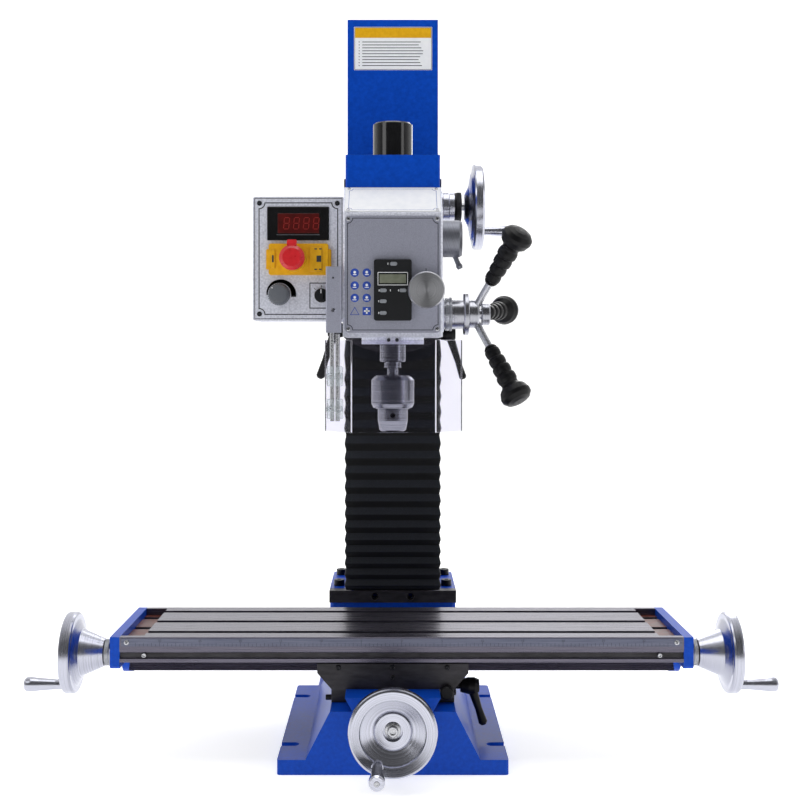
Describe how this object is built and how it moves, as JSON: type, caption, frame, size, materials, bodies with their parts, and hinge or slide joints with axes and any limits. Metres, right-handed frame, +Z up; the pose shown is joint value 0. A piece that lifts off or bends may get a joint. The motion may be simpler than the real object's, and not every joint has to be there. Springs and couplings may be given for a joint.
{
  "type": "benchtop milling machine",
  "caption": "Benchtop milling machine with a dovetail column, tilting head, drill chuck, three-spoke quill feed, T-slotted cross table and cranked handwheels.",
  "frame": {"origin": "middle of the underside of the base", "axes": "+X to the operator's right along the table, +Y from the operator to the column, +Z up along the column"},
  "size_m": [0.986, 0.595, 0.9985],
  "materials": {
    "blue_enamel": "gloss",
    "hammertone": "satin",
    "black_enamel": "satin",
    "ground_iron": "ground",
    "dark_iron": "machined",
    "polished_steel": "polished",
    "steel": "turned",
    "aluminium": "brushed",
    "bronze": "machined",
    "black_plastic": "matt",
    "black_gloss": "gloss",
    "rubber": "matt",
    "yellow_plastic": "gloss",
    "red_plastic": "gloss",
    "clear_plastic": "clear"
  },
  "bodies": {
    "root": {"base": "blue_enamel", "y_screw_bracket": "dark_iron", "column": "blue_enamel", "column_bolts": "steel", "z_screw_brackets": "dark_iron", "z_screw": "steel", "bellows": "rubber"},
    "saddle": {"saddle": "dark_iron", "saddle_gibs": "steel", "gib_screws": "steel", "feed_nuts": "bronze"},
    "saddle_lock": {"saddle_lock_lever": "black_plastic"},
    "table_lock": {"table_lock_knob": "black_plastic"},
    "table": {"table": "ground_iron", "table_end_brackets": "blue_enamel"},
    "x_screw": {"x_screw": "steel", "x_handwheels": "aluminium"},
    "x_handle_l": {"x_handle_left": "polished_steel"},
    "x_handle_r": {"x_handle_right": "polished_steel"},
    "y_screw": {"y_screw": "steel", "y_handwheel": "aluminium"},
    "y_crank": {"y_handle": "polished_steel"},
    "z_slide": {"z_carriage": "dark_iron", "z_gib": "steel", "column_cover": "blue_enamel", "z_dial_housing": "aluminium"},
    "z_wheel": {"z_wheel_shaft": "steel", "z_handwheel": "aluminium"},
    "z_crank": {"z_handle": "polished_steel"},
    "z_nut": {"z_nut": "bronze"},
    "z_lock": {"z_lock_lever": "black_plastic"},
    "head": {"head_casting": "hammertone", "head_front_plate": "aluminium", "top_cover": "blue_enamel", "drawbar_cap": "black_gloss", "motor": "black_enamel", "drive_belt": "rubber", "depth_readout": "black_plastic", "control_box": "hammertone", "stop_switch_body": "yellow_plastic", "guard_bracket": "aluminium"},
    "rotor": {"motor_pulley": "aluminium"},
    "drive_pulley": {"spindle_pulley": "aluminium"},
    "stop_button": {"stop_cap": "red_plastic"},
    "speed_dial": {"speed_knob": "black_plastic"},
    "direction_switch": {"direction_knob": "black_plastic"},
    "fine_feed": {"fine_feed_knob": "polished_steel"},
    "range_selector": {"range_knob": "hammertone"},
    "quill_lock": {"quill_lock_lever": "black_plastic"},
    "hub": {"quill_hub": "polished_steel", "hub_rods": "polished_steel", "hub_grips": "rubber"},
    "quill": {"quill": "steel", "quill_bearings": "steel"},
    "spindle": {"spindle": "steel", "chuck_body": "polished_steel", "chuck_jaws": "steel"},
    "chuck": {"chuck_sleeve": "polished_steel"},
    "guard": {"guard_rods": "polished_steel", "guard_screen": "clear_plastic"}
  },
  "joints": [
    {"name": "y_screw_turn", "type": "hinge", "parent": "root", "child": "y_screw", "pos_m": [0, -0.25, 0.0703], "axis": [0, 1, 0], "range_deg": [-18010, 12610]},
    {"name": "saddle_slide", "type": "slide", "parent": "root", "child": "saddle", "axis": [0, 1, 0], "range_m": [-0.07, 0.1]},
    {"name": "x_screw_turn", "type": "hinge", "parent": "table", "child": "x_screw", "pos_m": [0.011, -0.114, 0.12], "axis": [1, 0, 0], "range_deg": [-45190, 41230]},
    {"name": "table_slide", "type": "slide", "parent": "saddle", "child": "table", "axis": [1, 0, 0], "range_m": [-0.251, 0.229]},
    {"name": "x_left_handle_spin", "type": "hinge", "parent": "x_screw", "child": "x_handle_l", "pos_m": [-0.427, -0.114, 0.078], "axis": [1, 0, 0], "continuous": true},
    {"name": "x_right_handle_spin", "type": "hinge", "parent": "x_screw", "child": "x_handle_r", "pos_m": [0.449, -0.114, 0.078], "axis": [1, 0, 0], "continuous": true},
    {"name": "y_handle_spin", "type": "hinge", "parent": "y_screw", "child": "y_crank", "pos_m": [-0.01801, -0.305, 0.03236], "axis": [0, 1, 0], "continuous": true},
    {"name": "z_handle_spin", "type": "hinge", "parent": "z_wheel", "child": "z_crank", "pos_m": [0.132, 0.1263, 0.69486], "axis": [1, 0, 0], "continuous": true},
    {"name": "z_wheel_turn", "type": "hinge", "parent": "z_slide", "child": "z_wheel", "pos_m": [0.068, 0.088, 0.727], "axis": [1, 0, 0], "range_deg": [-43210, 3610]},
    {"name": "carriage_slide", "type": "slide", "parent": "root", "child": "z_slide", "axis": [0, 0, 1], "range_m": [-0.24, 0.02], "deforming": ["bellows"]},
    {"name": "z_nut_turn", "type": "hinge", "parent": "z_slide", "child": "z_nut", "pos_m": [0, 0.088, 0.7], "axis": [0, 0, 1], "range_deg": [-43210, 3610]},
    {"name": "z_lock_turn", "type": "hinge", "parent": "z_slide", "child": "z_lock", "pos_m": [0.068, 0.0915, 0.54], "axis": [1, 0, 0], "range_deg": [-40, 40]},
    {"name": "saddle_lock_turn", "type": "hinge", "parent": "saddle", "child": "saddle_lock", "pos_m": [0.08, -0.15, 0.086], "axis": [1, 0, 0], "range_deg": [-40, 40]},
    {"name": "table_lock_turn", "type": "hinge", "parent": "saddle", "child": "table_lock", "pos_m": [0.067, -0.196, 0.091], "axis": [0, 1, 0], "range_deg": [0, 180]},
    {"name": "head_tilt", "type": "hinge", "parent": "z_slide", "child": "head", "pos_m": [0, -0.014, 0.631], "axis": [0, 1, 0], "range_deg": [-45, 45]},
    {"name": "motor_spin", "type": "hinge", "parent": "head", "child": "rotor", "pos_m": [0.027, -0.05, 0.7], "axis": [0, 0, 1], "continuous": true},
    {"name": "pulley_spin", "type": "hinge", "parent": "head", "child": "drive_pulley", "pos_m": [0, -0.105, 0.73], "axis": [0, 0, 1], "continuous": true},
    {"name": "spindle_spin", "type": "hinge", "parent": "quill", "child": "spindle", "pos_m": [0, -0.105, 0.6], "axis": [0, 0, 1], "continuous": true},
    {"name": "hub_turn", "type": "hinge", "parent": "head", "child": "hub", "pos_m": [0.069, -0.055, 0.565], "axis": [1, 0, 0], "range_deg": [0, 204]},
    {"name": "quill_slide", "type": "slide", "parent": "head", "child": "quill", "axis": [0, 0, -1], "range_m": [0, 0.05], "stiffness_N_per_m": 250, "springref_m": -0.3},
    {"name": "chuck_sleeve_turn", "type": "hinge", "parent": "spindle", "child": "chuck", "pos_m": [0, -0.105, 0.46], "axis": [0, 0, 1], "range_deg": [-180, 180]},
    {"name": "fine_feed_turn", "type": "hinge", "parent": "head", "child": "fine_feed", "pos_m": [0.0415, -0.196, 0.5905], "axis": [0, 1, 0], "continuous": true},
    {"name": "range_turn", "type": "hinge", "parent": "head", "child": "range_selector", "pos_m": [0.0625, -0.058, 0.667], "axis": [1, 0, 0], "range_deg": [-60, 0]},
    {"name": "quill_lock_turn", "type": "hinge", "parent": "head", "child": "quill_lock", "pos_m": [-0.0625, -0.08, 0.543], "axis": [1, 0, 0], "range_deg": [-30, 30]},
    {"name": "stop_press", "type": "slide", "parent": "head", "child": "stop_button", "axis": [0, 1, 0], "range_m": [0, 0.004], "stiffness_N_per_m": 700, "springref_m": -0.003},
    {"name": "speed_turn", "type": "hinge", "parent": "head", "child": "speed_dial", "pos_m": [-0.145, -0.155, 0.5875], "axis": [0, 1, 0], "range_deg": [0, 280]},
    {"name": "direction_turn", "type": "hinge", "parent": "head", "child": "direction_switch", "pos_m": [-0.091, -0.155, 0.586], "axis": [0, 1, 0], "range_deg": [-45, 45]},
    {"name": "guard_swing", "type": "hinge", "parent": "head", "child": "guard", "pos_m": [-0.0755, -0.2, 0.54], "axis": [0, 0, 1], "range_deg": [-110, 0]}
  ],
  "couplings": [
    {"joint": "y_screw_turn", "follows": "saddle_slide", "rad_per_m": -3141.6},
    {"joint": "x_screw_turn", "follows": "table_slide", "rad_per_m": 3141.6},
    {"joint": "z_wheel_turn", "follows": "carriage_slide", "rad_per_m": 3141.6},
    {"joint": "z_nut_turn", "follows": "carriage_slide", "rad_per_m": 3141.6},
    {"joint": "quill_slide", "follows": "hub_turn", "m_per_rad": 0.014},
    {"joint": "pulley_spin", "follows": "spindle_spin", "ratio": 1},
    {"joint": "motor_spin", "follows": "spindle_spin", "ratio": 2.3571}
  ]
}
